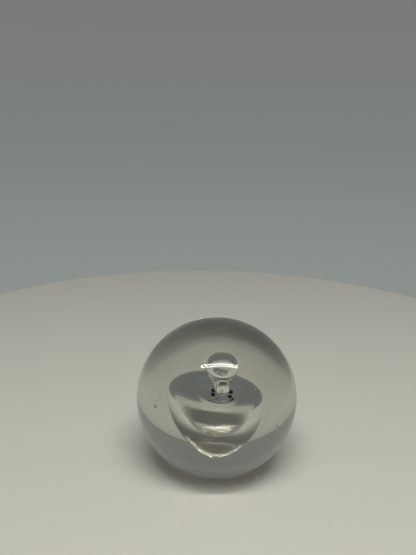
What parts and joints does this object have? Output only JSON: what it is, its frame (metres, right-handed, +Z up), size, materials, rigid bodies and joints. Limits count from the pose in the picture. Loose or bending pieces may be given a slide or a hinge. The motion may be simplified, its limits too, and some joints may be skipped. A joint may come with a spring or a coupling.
{
  "type": "bubble paperweight",
  "caption": "Solid clear glass ball with a flat ground base, holding a drop-shaped air bubble with a mirror-like flat top and a small tailed bubble above it.",
  "frame": {"origin": "centre of the ground flat base, on the surface that the ball stands on", "axes": "+Z up the ball's axis, +X to the right, -Y towards the front"},
  "size_m": [0.065, 0.065, 0.0625],
  "materials": {
    "clear_glass": "fire-polished clear glass, ground flat underneath",
    "trapped_air": "air bubble seen as a bright, mirror-like skin inside the glass",
    "dark_scale": "matt black scale fleck"
  },
  "bodies": {
    "root": {"outer_gather": "clear_glass", "middle_gather": "clear_glass", "core_gather": "clear_glass", "large_bubble": "trapped_air", "small_bubble": "trapped_air", "fleck_left": "dark_scale", "fleck_right": "dark_scale", "seed_bubble_base": "trapped_air", "seed_bubble_left": "trapped_air", "seed_bubble_left_small": "trapped_air", "seed_bubble_low": "trapped_air", "seed_bubble_right": "trapped_air", "seed_bubble_right_low": "trapped_air", "seed_bubble_top": "trapped_air"}
  },
  "joints": []
}
